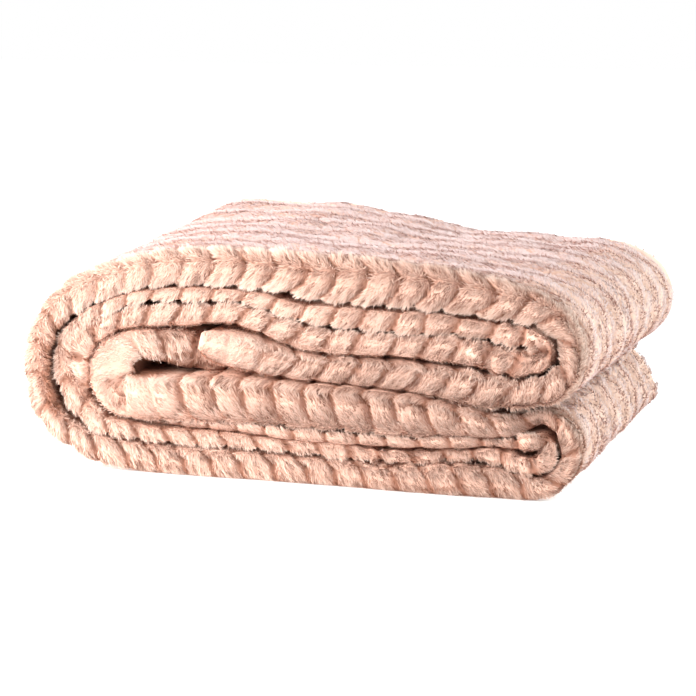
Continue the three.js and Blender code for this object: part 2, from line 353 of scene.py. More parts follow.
# A leaf of the pattern, in shares of its length: its round end, at the point and at the border of
# its row, its slow start, how much that slants, and the powers that round both
LEAF = {"end": (0.14, 0.4), "end_power": 0.6, "start": 0.4, "slant": 0.1, "start_power": 1.6}
# Half the share by which one leaf may be lower than another
LEAF_UNEVEN = 0.1
# The creases along the points and the borders of the leaves, in shares of a leaf's width
APEX = {"crease": 0.3, "to": 0.3}
BORDER = {"crease": 0.6, "from": 0.62}
# Patches of a face where these creases are faint
FAINT = {"along": 24, "across": 14, "range": (0.35, -0.5)}
# How far rows and leaves stray from straight and even ones, on the front folds and the faces
STRAY = {"across": (1.2, 9), "across_size": 38, "along": (3, 9), "along_size": 30}
# The relief is that of a face from this many arcs of the front fold on
FACE_START = 1.3
# Shares of the way around the front fold between which it comes to lie on the next layer, the
# blades grow shorter, and the groove beside it grows dark with painted shade, unevenly
CONTACT = (0.4, 0.75)
PRESSED = (0.5, 0.85)
GROOVE = (0.72, 0.95)
GROOVE_UNEVEN = {"middle": 0.85, "by": 0.3, "size": 22}
# Shares of the relief that are lost at a contact and in each kind of stretch
CONTACT_FLATTENED = 0.6
FLATTENED = {"pale": 0.85, "shaded": 0.6, "crumpled": 0.12}
# Heights between which the relief comes in above the surface that the cloth rests on
RELIEF_HEIGHTS = (3, 16)
# How far the skin lies inside the solid's, and how far behind the front fold its inner side turns
# plain, as another layer hides it
INSET = 0.4
UNSEEN = 12
# Lumps of the cloth, folds of a crumpled stretch (share of its amount, size along and across,
# random seed), rumples of the faces, and thin broken lines on them, in patches
LUMP = {"height": 1.1, "along": 31, "across": 27}
CRUMPLES = [(0.7, 13, 11, 3), (0.6, 6, 4, 12)]
RUMPLE = {"height": 1.8, "along": 52, "across": 30}
STREAK = {"depth": 1.6, "along": 17, "across": 7, "line": 0.2}
STREAK_PATCH = {"along": 16, "across": 11, "range": (-0.2, 0.4)}

# The pile's blades, in millimetres, degrees and shares, and how far they roll over, in radians
PILE = {"length": 7.2, "width": 1.05, "rise": 18, "rise_spread": 7, "sunk": 0.5, "soft": 0.5}
PILE_SPREAD = {"length": (0.65, 1.15), "width": (0.7, 1.3), "roll": 0.7}
# Along the points of the leaves the blades stand up and point every way
PARTING = {"width": 0.22, "rise": 22, "swirl": 0.9}
# The blades lie along and across the band, and less across it where the pattern is calm
LIE = {"along": 0.7, "calm": 0.75}
# Radians by which the blades turn aside: in waves, singly, by the leaf, and more on the faces
SWIRL = {"waves": 0.25, "size": 9, "blade": 0.16, "leaf": 0.2, "face": 0.3}
# Slanting tufts of longer and lighter blades
TUFT = {"slant": 0.7, "along": 8, "across": 2.2, "length": 0.35, "tone": 1.5}
# Shares of their length that blades lose in the seams, on thin cloth, on the faces, where another
# layer presses on them, and at the end of a leaf
SHORTER = {"seam": 0.3, "thin": 0.4, "face": 0.25, "pressed": 0.45, "end": 0.45, "end_size": 5}
# Distances from a seam between which the pile comes in, and the share of it left out in the seam
SEAM_BARE = {"range": (0.5, 1.8), "share": 0.85}
# Shares of painted shade by which the pile is darker at the shaded end of a leaf, along a seam, in a
# groove, in a listed crease and on a streak, and those by which that painted shade is lessened again
DARKER = {"shaded_end": 0.3, "shaded_end_to": 0.7, "seam": 0.7, "groove": 0.9, "crease": 0.75, "streak": 0.4}
LIGHTER = {"face": 0.25, "calm": 0.62, "pale": 0.8}
# Distances from a seam between which the painted shade grows dark, the depth at which a crease's
# painted shade is darkest, and the distances from the front fold between which a shaded stretch
# grows dark and light
SEAM_LINE = (1.3, 0.3)
CREASE_DARK = 2.5
SHADED = {"dark": (3, -8), "light": (-2, 5)}
# The tone of the blades, which differs at random, with painted shade on the front fold in the dusk
# stretches; and by how much less dark it is in calm and pale places and on the faces
TONE = {"middle": 0.55, "spread": 0.35, "patch": 0.35, "patch_size": 5, "share": 0.5, "dusk": 0.36}
TONE_CALMER = {"calm": 0.75, "pale": 0.6, "face": 0.35}
# The blades on the back edges of the plies and on the fold that joins the bands at the back
HEM_PILE = {"spacing": 1.7, "length": 6, "lengths": (0.6, 1.1), "width": 1.8, "spread": 0.7}
FOLD_BLADES = 17000
# How far off the middle of an edge they stand, in shares of half its thickness, how much they lean
# outwards there, and how far their roots are sunk
HEM_TILT = {"range": 0.88, "by": 0.2}
HEM_SUNK = 1
# How full they are at the slit between the plies, where they are darker with painted shade, how far
# that reaches, and what the material reads, with half the painted cool light of the faces
HEM_LOOK = {"full": 0.45, "full_to": (0.02, 0.2), "tone": 0.7, "spread": 0.4, "face": 0.5, "base": 0.6}
# Least height of the blades
CLEAR = 0.2
# How far the blades go past the cloth's depth, to reach its back edge
PILE_OVERHANG = 11
# How far to each side the skin is tried for the way in which it faces
PROBE = 2.0

WHITE = (1, 1, 1)
MID_COLOUR = (0.83, 0.54, 0.43)
# The colour at a blade's root and of the cloth below it, dark with painted shade deep in the pile
ROOT_COLOUR = (0.42, 0.22, 0.16)
# Colours along a blade, darker towards its root with painted shade deep in the pile; then of a whole
# blade by its tone, which differs at random and takes painted shade in the dusk stretches; by how
# full it is, which carries the painted shade of seams, grooves, creases and hollows; and on the
# faces, a cool tint of painted light
PILE_RAMPS = {
    "tip": [(0, ROOT_COLOUR), (0.5, MID_COLOUR), (1, (0.92, 0.72, 0.62))],
    "tone": [(0, (0.27, 0.18, 0.15)), (1, WHITE)],
    "full": [(0, (0.17, 0.1, 0.07)), (0.09, (0.56, 0.38, 0.31)), (0.48, WHITE)],
    # A cool tint of painted light on the faces
    "face": [(0, WHITE), (1, (0.83, 0.88, 1.0))],
}
# The cloth below the pile, dark with painted shade: darkest in the seams, the slits between the plies
# and the hollow, and lighter on the faces
GROUND_RAMP = [(0, (0.2, 0.08, 0.05)), (0.5, ROOT_COLOUR), (1, MID_COLOUR)]
PLUSH = {
    "Roughness": 0.9,
    "Specular IOR Level": 0.05,
    "Sheen Weight": 0.03,
    "Sheen Roughness": 0.45,
    "Sheen Tint": (1.0, 0.86, 0.82, 1),
}
MATT = {"Roughness": 1, "Specular IOR Level": 0}
FLOOR = {"Base Color": (0.93, 0.93, 0.93, 1), "Emission Color": (1, 1, 1, 1), "Emission Strength": 0.35}
# Half the floor's side, and how far below the cloth it lies, in metres
FLOOR_HALF = 6
FLOOR_GAP = 0.0005

WORLD = {"Color": (1, 1, 1, 1), "Strength": 1.0}
# Name, place in metres, size in metres, power in watts, colour
LIGHTS = [
    ("key", (-0.6, 0.9, 2.4), 1.8, 26, (0.66, 0.82, 1.0)),
    ("front fill", (-1.5, -1.25, 0.75), 1.4, 71, (0.97, 0.97, 0.93)),
    ("right fill", (2.4, 0.3, 1.3), 1.6, 50, (0.62, 0.95, 1.0)),
    ("left fill", (-2.6, -0.4, 1.0), 1.6, 26, (1.0, 0.97, 0.95)),
]
LIT_POINT = (0, 0, 0.08)
# Degrees, metres, and the photo's focal length and side in pixels
VIEW = {"azimuth": 19.0, "elevation": 9.5, "distance": 2.0, "target": (-0.0099, -0.0147, 0.077)}
FOCAL_PX = 2400
IMAGE_PX = 696
SENSOR = 36

# Parts of a band's line from one row to the next
CURVE_PARTS = 16
# Steps of the mesh in millimetres, and its columns on the inner side, which doesn't show
STATION = 2.5
FACE_STEP = 3.2
FRONT_STEP = 2.2
HIDDEN_STEP = 45
FOLD_STEP = 8
HIDDEN_COLUMNS = [-NOSE_ARC - 8, -NOSE_ARC - 30, -DEPTH / 2]
# Step of a section's places past its hems
PAST_HEM = 20
# Shares by which the ground's painted shade is lessened on the faces and in the pale stretches
GROUND_LIGHTER = {"face": 0.6, "pale": 0.8}
# Where the back fold starts and ends on the outer band, and how far along the inner band its
# nearest place is looked for
FOLD_ENDS = (14, -12)
FOLD_SEARCH = {"first": 540, "later": 140}
# How far inside the back edges the fold's round starts
FOLD_ROOT = 3
# Half the length over which a stretch comes in
SOFT_END = 20
# Least and largest share of its full size that a front fold has
NOSE_SHARES = (0.4, 1.15)
# Corners of a blade in its cell of the baked picture
BAKE_CORNERS = [[0.15, 0.15], [0.85, 0.15], [0.5, 0.85]]


def mix(a, b, t):
    return a + (b - a) * t


def smooth(a, b, v):
    t = np.clip((v - a) / (b - a), 0, 1)
    return t * t * (3 - 2 * t)


@lru_cache(None)
def random_table(seed):
    return np.random.default_rng(seed).uniform(-1, 1, (256, 256))


def noise(u, v, seed):
    """Smooth random values from -1 to 1 over a plane, one knot to a unit."""
    table = random_table(seed)
    iu, iv = np.floor(u).astype(int), np.floor(v).astype(int)
    fu, fv = smooth(0, 1, u - iu), smooth(0, 1, v - iv)
    low = mix(table[iu & 255, iv & 255], table[(iu + 1) & 255, iv & 255], fu)
    high = mix(table[iu & 255, (iv + 1) & 255], table[(iu + 1) & 255, (iv + 1) & 255], fu)
    return mix(low, high, fv)


def by_cell(i, j, seed):
    """One random value from -1 to 1 for each cell."""
    return random_table(seed)[i & 255, j & 255]


def catmull(knots, parts):
    """A centripetal Catmull-Rom curve through the knots."""
    ends = (2 * knots[0] - knots[1], 2 * knots[-1] - knots[-2])
    p = np.vstack([ends[0], knots, ends[1]])
    gap = np.sqrt(np.linalg.norm(np.diff(p, axis=0), axis=1))[:, None]
    t = (np.arange(parts) / parts)[None, :, None]
    a, b, c, d = p[:-3], p[1:-2], p[2:-1], p[3:]
    g0, g1, g2 = gap[:-2], gap[1:-1], gap[2:]
    out = ((b - a) / g0 - (c - a) / (g0 + g1) + (c - b) / g1) * g1
    into = ((c - b) / g1 - (d - b) / (g1 + g2) + (d - c) / g2) * g1
    b, c, out, into = (v[:, None, :] for v in (b, c, out, into))
    curve = b + out * t + (3 * (c - b) - 2 * out - into) * t**2 + (2 * (b - c) + out + into) * t**3
    return np.vstack([curve.reshape(-1, knots.shape[1]), knots[-1:]])


def steps(table, v):
    """A value that goes smoothly from one row of the table to the next."""
    total = np.full(np.shape(v), float(table[0][1]))
    for (v0, d0), (v1, d1) in zip(table, table[1:]):
        total = total + (d1 - d0) * smooth(v0, v1, v)
    return total


class Band:
    """The line that a pair of plies follows, with its thickness and set-back at any distance."""

    def __init__(self, runs, pattern, stretches, creases, seed):
        rows = np.array([row for run in runs.values() for row in run], float)
        self.x, self.z, self.half = catmull(rows[:, [0, 1, 2]], CURVE_PARTS).T
        self.s = np.append(0, np.cumsum(np.hypot(np.diff(self.x), np.diff(self.z))))
        row = np.arange(len(self.x)) / CURVE_PARTS
        at = np.minimum(row.astype(int), len(rows) - 2)
        self.set = mix(rows[at, 3], rows[at + 1, 3], smooth(0, 1, row - at))
        self.length = self.s[-1]
        self.pitch = self.length / round(self.length / STITCH)
        self.start = {}
        first = 0
        for name, run in runs.items():
            self.start[name] = self.s[first * CURVE_PARTS]
            first += len(run)
        self.pattern = {
            column: [(self.start[row[0]], row[k]) for row in pattern]
            for k, column in enumerate(("point", "shaded_end", "relief", "lean"), 1)
        }
        self.stretches = stretches
        self.creases = creases
        self.seed = seed

    def at(self, s):
        s = np.clip(s, 0, self.length)
        return tuple(np.interp(s, self.s, v) for v in (self.x, self.z, self.half, self.set))

    def normal(self, s):
        reach = 3
        ax, az = self.at(s - reach)[:2]
        bx, bz = self.at(s + reach)[:2]
        run = np.hypot(bx - ax, bz - az)
        return (bz - az) / run, -(bx - ax) / run

    def carved(self, column, s):
        return steps(self.pattern[column], s)

    def within(self, kind, s):
        """The amount of the stretches of one kind, with soft ends."""
        total = np.zeros(np.shape(s))
        for first, before, last, after, amount in self.stretches.get(kind, []):
            a, b = self.start[first] + before, self.start[last] + after
            begins, ends = (smooth(v - SOFT_END, v + SOFT_END, s) for v in (a, b))
            total = total + amount * (begins - ends)
        return total

    def creased(self, s, w):
        """How deep the listed creases are at a point."""
        total = np.zeros(np.broadcast(s, w).shape)
        for first, ahead, w0, last, after, w1, width, depth in self.creases:
            a, b = self.start[first] + ahead, self.start[last] + after
            near = (s > min(a, b) - 3 * width) & (s < max(a, b) + 3 * width)
            near = np.broadcast_to(near, total.shape)
            if not near.any():
                continue
            ds = np.broadcast_to(s, total.shape)[near] - a
            dw = np.broadcast_to(w, total.shape)[near] - w0
            t = np.clip((ds * (b - a) + dw * (w1 - w0)) / ((b - a) ** 2 + (w1 - w0) ** 2), 0, 1)
            off = np.hypot(ds - t * (b - a), dw - t * (w1 - w0)) / width
            total[near] += depth * np.exp(-(off**2)) * smooth(0, 0.2, t + 0.1) * smooth(0, 0.2, 1.1 - t)
        return total

    def shows(self, s, w):
        """1 where the face is open to view, and 0 where another layer lies on it."""
        return np.where(w > 0, self.within("open", s), 0.0)

    def nose(self, s):
        """How deep the front fold is, and the length of cloth around half of it."""
        thick = np.clip(self.at(s)[2] / FULL_HALF, *NOSE_SHARES)
        return NOSE_DEPTH * thick, NOSE_ARC * thick


def settle(x, y, z):
    """The place in the finished pile of a point in the straight one."""
    t = (y - FRONT) / DEPTH
    draw = steps(RIGHT_TABLE, z) * smooth(RIGHT_DRAW["from"], RIGHT_DRAW["to"], x)
    left = LEFT_DRAW["by"] * smooth(LEFT_DRAW["from"], LEFT_DRAW["to"], x)
    bulge = np.exp(-(((x - SHOULDER["x"]) / SHOULDER["width"]) ** 2))
    bulge = bulge * np.clip(z / SHOULDER["full"], 0, 1) * SHOULDER["lift"]
    wave = np.sin(x / UNEVEN["along_x"] + y / UNEVEN["along_y"]) * UNEVEN["size"]
    wave = wave * np.clip(z / UNEVEN["full"], 0, 1)
    height = z * (1 - t * steps(TOP_DIP, x)) + t * bulge + wave
    return np.stack([x - t * (draw + left), y, np.where(height < REST_BAND, 0, height)], -1)


def on_face(w):
    """0 on the front fold and 1 well back on the face behind it."""
    return smooth(NOSE_ARC, 3 * NOSE_ARC, w)


def leaf(band, s, w):
    """Where a point lies in the carved pattern: along its leaf's width and length, and its cell."""
    face = on_face(w)
    size = STRAY["across_size"]
    aside = mix(*STRAY["across"], face) * noise(s / size, w / size, band.seed + 5)
    turn = w - band.carved("point", s) + aside
    row = np.floor(turn / (CABLE / 2)).astype(int)
    within = turn / (CABLE / 2) - row
    share = np.where(row % 2 == 0, within, 1 - within)
    ends = smooth(0, 3 * STITCH, np.minimum(s, band.length - s))
    ahead = noise(s / STRAY["along_size"], row * 2.7 + 0.5, band.seed + 6)
    ahead = mix(*STRAY["along"], face) * ahead
    phase = (s + ahead - band.carved("lean", s) * (share - 0.5) * (CABLE / 2) * ends) / band.pitch
    cell = np.floor(phase).astype(int)
    return share, phase - cell, cell, row


def puff(band, s, w):
    """How full the carved cloth is at a point, from 0 in a seam to 1 on a leaf.

    A leaf comes out slowly from under the one before it, and ends in a steep round edge.
    """
    share, along, cell, row = leaf(band, s, w)
    edge = mix(*LEAF["end"], share**2)
    over = (1 - np.clip((along - 1 + edge) / edge, 0, 1) ** 2) ** LEAF["end_power"]
    slow = np.clip(1 - along / (LEAF["start"] + LEAF["slant"] * share), 0, 1)
    under = 1 - slow ** LEAF["start_power"]
    crease = APEX["crease"] * (1 - smooth(0, APEX["to"], share))
    crease = crease + BORDER["crease"] * smooth(BORDER["from"], 1, share)
    faint = noise(s / FAINT["along"], w / FAINT["across"], band.seed + 8)
    faint = on_face(w) * smooth(*FAINT["range"], faint)
    width = 1 - crease * (1 - contact(band, s, w)) * (1 - faint)
    return over * under * width * (1 - LEAF_UNEVEN + LEAF_UNEVEN * by_cell(cell, row, band.seed))


def contact(band, s, w):
    """1 where the front fold turns in against the next layer, and 0 where it is open."""
    return smooth(*CONTACT, np.abs(w) / band.nose(s)[1]) * (1 - band.shows(s, w))


def streak(band, s, w):
    """1 on the thin broken lines that the pile leaves on a face, and 0 between them."""
    line = np.abs(noise(s / STREAK["along"], w / STREAK["across"], band.seed + 9))
    patch = noise(s / STREAK_PATCH["along"], w / STREAK_PATCH["across"], band.seed + 10)
    return smooth(STREAK["line"], 0, line) * smooth(*STREAK_PATCH["range"], patch) * on_face(w)


def skin(band, s, w):
    """A point of the band's skin, in millimetres.

    s runs along the band and w across it from the front fold, over the outer side above 0 and
    over the inner side below it.
    """
    s, w = np.broadcast_arrays(np.asarray(s, float), np.asarray(w, float))
    x, z, half, back = band.at(s)
    nx, nz = band.normal(s)
    nose, arc = band.nose(s)
    turn = (math.pi / 2) * np.clip(w / arc, -1, 1)
    front = FRONT + back
    far = mix(front, FRONT, np.abs(w) / DEPTH) + np.abs(w) - (arc - nose)
    y = np.where(np.abs(w) <= arc, front + nose * (1 - np.cos(turn) ** BLUNT), far)
    out = np.sign(turn) * np.abs(np.sin(turn)) ** BLUNT
    level = half * out
    low = smooth(*RELIEF_HEIGHTS, z + nz * level)
    relief = relief_at(band, s, w)
    depth = relief * np.minimum(1, half / THIN_HALF) * (1 - puff(band, s, w))
    depth = depth + LUMP["height"] * noise(s / LUMP["along"], w / LUMP["across"], band.seed + 1) + INSET
    crumple = sum(
        part * noise(s / along, w / across, band.seed + seed) for part, along, across, seed in CRUMPLES
    )
    depth = depth + band.within("crumpled", s) * crumple
    rumple = noise(s / RUMPLE["along"], w / RUMPLE["across"], band.seed + 4)
    uneven = RUMPLE["height"] * rumple + STREAK["depth"] * streak(band, s, w)
    depth = depth + uneven * band.shows(s, w) * on_face(w)
    depth = depth + band.creased(s, w)
    depth = depth * low - closing(band, s, w)
    depth = np.where(w > -NOSE_ARC - UNSEEN, depth, 0)
    n = level - depth * out
    return settle(x + nx * n, y + depth * np.cos(turn), z + nz * n)


def relief_at(band, s, w):
    """The depth of the carved relief at a point, in millimetres."""
    arc = band.nose(s)[1]
    relief = RELIEF * mix(1, band.carved("relief", s), smooth(0, FACE_START * NOSE_ARC, w))
    relief = relief * (1 - CONTACT_FLATTENED * contact(band, s, w))
    for kind, share in FLATTENED.items():
        relief = relief * (1 - share * band.within(kind, s))
    return relief * mix(1, band.shows(s, w), smooth(arc, FACE_START * arc, np.abs(w)))


def hollow(band, s, w):
    """1 in the painted shade between two layers that stand apart."""
    return band.within("hollow", s) * smooth(*HOLLOW["dark"], w)


def closing(band, s, w):
    """How far the cloth swells into the hollow of the left bulb, away from the front."""
    if "left_bulb" not in band.start:
        return 0
    first, last = HOLLOW["start"]
    near = smooth(band.start["middle"] + first, band.start["middle"] + last, s)
    return near * HOLLOW["swell"] * smooth(HOLLOW["from"], HOLLOW["to"], w)


def inside(band, s, y, n):
    """A point at depth y, n times half the thickness off the band's middle."""
    x, z, half, _ = band.at(s)
    nx, nz = band.normal(s)
    return settle(x + nx * n * half, np.broadcast_to(y, np.shape(x)) + 0.0, z + nz * n * half)


def face_columns(step):
    first, last = NOSE_ARC + FRONT_STEP, DEPTH
    return np.linspace(last, first, max(2, round((last - first) / step)))


def band_rings(band, dense_spans):
    """Closed sections of a band, with many points on its face where that shows.

    Each is its points, their places across the band, which go on past the hems, and their painted
    shade.
    """
    count = round(band.length / STATION)
    fronts = np.linspace(NOSE_ARC, -NOSE_ARC, round(2 * NOSE_ARC / FRONT_STEP) + 1)
    past = PAST_HEM * np.arange(1, len(HEM) + 4)
    rings = []
    for s in np.linspace(0, band.length, count + 1):
        dense = any(a <= s <= b for a, b in dense_spans)
        columns = face_columns(FACE_STEP if dense else HIDDEN_STEP)
        w = np.concatenate([columns, fronts, HIDDEN_COLUMNS])
        slit = SLIT / max(band.at(s)[2], 1)
        tip = FRONT + band.at(s)[3] + NOSE_DEPTH + SLIT_START
        hem = [inside(band, s, BACK - back, n) for back, n in HEM]
        lower = [inside(band, s, BACK - back, -n) for back, n in reversed(HEM)]
        slits = [inside(band, s, y, n) for y, n in ((BACK, -slit), (tip, 0), (BACK, slit))]
        ring = np.concatenate([hem, skin(band, s, w), lower, slits])
        ends = np.ones(len(HEM))
        # The cloth's painted shade: dark in the seams and the hollow, lessened on the faces and in the
        # pale stretches, darkest in the slits between the plies and none on the hems
        pale = GROUND_LIGHTER["pale"] * band.within("pale", s)
        full = mix(puff(band, s, w), 1, np.maximum(GROUND_LIGHTER["face"] * on_face(w), pale))
        full = full * (1 - hollow(band, s, w))
        shade = np.concatenate([ends, full, ends, np.zeros(len(slits))])
        places = np.concatenate([DEPTH + past[len(HEM) - 1::-1], w, -DEPTH - past])
        rings.append((ring, places, shade))
    return rings


def stitch_rings(rings):
    """Joins closed rings, which may differ in their number of points, into one closed surface."""
    points, faces, ids = [], [], []
    total = 0
    for ring, _, _ in rings:
        points.append(ring)
        ids.append(list(range(total, total + len(ring))))
        total += len(ring)
    for k in range(len(rings) - 1):
        a, b = ids[k], ids[k + 1]
        if len(a) == len(b):
            faces.extend(np.stack([a, np.roll(a, -1), np.roll(b, -1), b], 1).tolist())
            continue
        pa, pb = rings[k][1], rings[k + 1][1]
        i = j = 0
        while i < len(a) - 1 or j < len(b) - 1:
            if j == len(b) - 1 or (i < len(a) - 1 and pa[i + 1] >= pb[j + 1]):
                faces.append([a[i], a[i + 1], b[j]])
                i += 1
            else:
                faces.append([a[i], b[j + 1], b[j]])
                j += 1
        faces.append([a[-1], a[0], b[0], b[-1]])
    faces.append(ids[0][::-1])
    faces.append(ids[-1])
    return np.concatenate(points), faces


def back_fold_rings(outer, inner):
    """The fold that joins the two bands at the back."""
    first, last = FOLD_ENDS[0], outer.start["left_bulb"] + FOLD_ENDS[1]
    stations = np.linspace(first, last, round((last - first) / FOLD_STEP))
    rings, met = [], 0
    for s in stations:
        x, z = outer.at(s)[:2]
        near = np.hypot(inner.x - x, inner.z - z)
        reach = FOLD_SEARCH["later" if rings else "first"]
        near[(inner.s <= met) | (inner.s > met + reach)] = np.inf
        met = inner.s[np.argmin(near)]
        under = -(1 + SLIT / outer.at(s)[2]) / 2
        over = (1 + SLIT / inner.at(met)[2]) / 2
        a = [inside(outer, s, y, under) for y in (BACK - BACK_FOLD, BACK - FOLD_ROOT)]
        b = [inside(inner, met, y, over) for y in (BACK - FOLD_ROOT, BACK - BACK_FOLD)]
        arc = []
        for turn in np.linspace(0, math.pi, 7)[1:-1]:
            point = mix(a[1], b[0], (1 - math.cos(turn)) / 2)
            point[1] += (BACK_ROUND + FOLD_ROOT) * math.sin(turn)
            arc.append(point)
        rings.append((np.array([*a, *arc, *b]), None, np.ones(4 + len(arc))))
    return rings


def turned_out(points, faces):
    """The faces, all pointing out of the closed surface."""
    total = 0.0
    for sides in {len(face) for face in faces}:
        p = points[np.array([face for face in faces if len(face) == sides])]
        for k in range(1, sides - 1):
            total += np.sum(p[:, 0] * np.cross(p[:, k], p[:, k + 1]))
    return faces if total > 0 else [face[::-1] for face in faces]


def placed(name, data):
    """A new object in the scene."""
    piece = bpy.data.objects.new(name, data)
    bpy.context.scene.collection.objects.link(piece)
    return piece


def dressed(piece):
    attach(piece, "root")


def camera(azimuth, elevation, distance, target):
    data = bpy.data.cameras.new("photo")
    data.sensor_width = SENSOR
    data.lens = SENSOR * FOCAL_PX / IMAGE_PX
    data.clip_end = 20
    az, el = math.radians(azimuth), math.radians(elevation)
    ahead = Vector((-math.sin(az) * math.cos(el), math.cos(az) * math.cos(el), -math.sin(el)))
    piece = placed("photo", data)
    piece.location = Vector(target) - ahead * distance
    piece.rotation_euler = ahead.to_track_quat("-Z", "Y").to_euler()
    bpy.context.scene.camera = piece


def sown(areas, rng):
    """Where blades may stand: a random place in each cell of a grid over each area.

    An area goes from s0 to s1 along the band and from w0 to w1 across it.
    """
    s_all, w_all = [], []
    for s0, s1, w0, w1, spacing in areas:
        ns, nw = max(1, round((s1 - s0) / spacing)), max(1, round((w1 - w0) / spacing))
        i, j = np.meshgrid(np.arange(ns), np.arange(nw), indexing="ij")
        s_all.append((s0 + (i + rng.random(i.shape)) * (s1 - s0) / ns).ravel())
        w_all.append((w0 + (j + rng.random(i.shape)) * (w1 - w0) / nw).ravel())
    return np.concatenate(s_all), np.concatenate(w_all)


def grown(band, s, w, rng):
    """Whether a blade stands at each place; near a seam most are left out."""
    phase = leaf(band, s, w)[1]
    seam = np.minimum(phase, 1 - phase) * band.pitch
    bare = (1 - smooth(*SEAM_BARE["range"], seam)) * (1 - band.within("pale", s))
    return rng.random(len(s)) < 1 - SEAM_BARE["share"] * bare


class Spots:
    """The places where the blades stand, and what the band is like there."""

    def __init__(self, band, s, w, seed):
        self.band, self.s, self.w, self.seed = band, s, w, seed
        self.share, self.phase, self.cell, self.row = leaf(band, s, w)
        self.up = np.where(self.row % 2 == 0, 1.0, -1.0)
        self.face = on_face(w)
        self.calm = self.face * (1 - band.carved("relief", s))
        self.parting = 1 - smooth(0, PARTING["width"], self.share)
        self.puff = puff(band, s, w)
        self.turned = np.abs(w) / band.nose(s)[1]
        self.covered = 1 - band.shows(s, w)
        self.end = (1 - self.phase) * band.pitch
        along = (TUFT["slant"] * s + self.up * w) / TUFT["along"]
        across = (TUFT["slant"] * w - self.up * s) / TUFT["across"]
        self.tuft = noise(along, across, seed + 3)
        # The groove's painted shade, uneven along it and lessened in the soft stretches
        groove = smooth(*GROOVE, self.turned) * self.covered * (1 - band.within("soft", s))
        uneven = GROOVE_UNEVEN["by"] * noise(s / GROOVE_UNEVEN["size"], 0 * s, seed + 5)
        self.groove = groove * np.clip(GROOVE_UNEVEN["middle"] + uneven, 0, 1)
        self.pale = band.within("pale", s) * (1 - self.groove)


def laid(spots, along, across, normal, rng):
    """The way in which each blade lies on the skin."""
    count = len(spots.s)
    sideways = spots.up * (1 - LIE["calm"] * spots.calm)
    lie = unit(unit(along) * LIE["along"] + unit(across) * sideways[:, None])
    lie = unit(lie - normal * np.sum(lie * normal, 1)[:, None])
    beside = np.cross(normal, lie)
    waves = noise(spots.s / SWIRL["size"], spots.w / SWIRL["size"], spots.seed + 1)
    swirl = SWIRL["waves"] * waves + SWIRL["blade"] * rng.standard_normal(count)
    swirl = swirl + SWIRL["leaf"] * by_cell(spots.cell, spots.row, spots.seed + 2)
    swirl = swirl + spots.parting * PARTING["swirl"] * rng.standard_normal(count)
    swirl = swirl + SWIRL["face"] * spots.face * rng.standard_normal(count)
    return lie * np.cos(swirl)[:, None] + beside * np.sin(swirl)[:, None]


def lengths(spots, rng):
    """The length of each blade, in millimetres."""
    thick = np.minimum(1, spots.band.at(spots.s)[2] / FULL_HALF)
    length = PILE["length"] * rng.uniform(*PILE_SPREAD["length"], len(spots.s))
    length = length * (1 - SHORTER["seam"] + SHORTER["seam"] * spots.puff)
    length = length * (1 - SHORTER["thin"] + SHORTER["thin"] * thick)
    length = length * (1 + TUFT["length"] * spots.tuft)
    pressed = smooth(*PRESSED, spots.turned) * spots.covered
    length = length * (1 - SHORTER["face"] * spots.face) * (1 - SHORTER["pressed"] * pressed)
    end = smooth(SHORTER["end_size"], 0, spots.end) * (1 - spots.parting)
    return length * (1 - SHORTER["end"] * end)


def fullness_and_shade(spots):
    """How light the pile is painted at each blade, from 0 in the painted shade of a seam or groove to
    1.
    """
    band, s, w, face = spots.band, spots.s, spots.w, spots.face
    # Painted shade: darker towards one end of each leaf
    outward = mix(1 - spots.share, spots.share, band.carved("shaded_end", s))
    shaded_end = DARKER["shaded_end"]
    full = spots.puff * (1 - shaded_end + shaded_end * smooth(0, DARKER["shaded_end_to"], outward))
    # Painted shade along the seams, lessened on the faces, where the pattern is calm and in the pale
    # stretches; painted shade in the grooves
    seam = smooth(*SEAM_LINE, np.minimum(spots.end, spots.phase * band.pitch))
    full = full * (1 - DARKER["seam"] * seam * (1 - face))
    full = mix(full, 1, LIGHTER["face"] * face + LIGHTER["calm"] * spots.calm)
    full = mix(full, 1, LIGHTER["pale"] * spots.pale) * (1 - DARKER["groove"] * spots.groove)
    # Painted shade on the inner half of the front fold in the shaded stretches, and none on its outer
    # half
    shaded = band.within("shaded", s)
    full = full * (1 - shaded * smooth(*SHADED["dark"], w))
    full = mix(full, 1, shaded * smooth(*SHADED["light"], w))
    # Painted shade in the hollow behind the front fold and all over the dim stretches
    full = full * (1 - hollow(band, s, w)) * (1 - band.within("dim", s))
    # Painted shade in the listed creases and on the streaks
    creased = np.clip(band.creased(s, w) / CREASE_DARK, 0, 1)
    return full * (1 - DARKER["crease"] * creased) * (1 - DARKER["streak"] * streak(band, s, w))


def tones(spots, rng):
    """The tone of each blade, from dark at 0 to light at 1."""
    tone = TONE["middle"] + TONE["spread"] * rng.standard_normal(len(spots.s))
    tone = tone + TUFT["tone"] * spots.tuft
    size = TONE["patch_size"]
    tone = tone + TONE["patch"] * noise(spots.s / size, spots.w / size, spots.seed + 4)
    less = TONE["share"] * (1 - np.clip(tone, -1, 1))
    less = less * (1 - TONE_CALMER["calm"] * spots.calm)
    less = less * (1 - TONE_CALMER["pale"] * spots.pale) * (1 - TONE_CALMER["face"] * spots.face)
    # Painted shade on the front fold in the dusk stretches
    dusk = spots.band.within("dusk", spots.s) * (1 - spots.face)
    return (1 - less) * (1 - TONE["dusk"] * dusk)


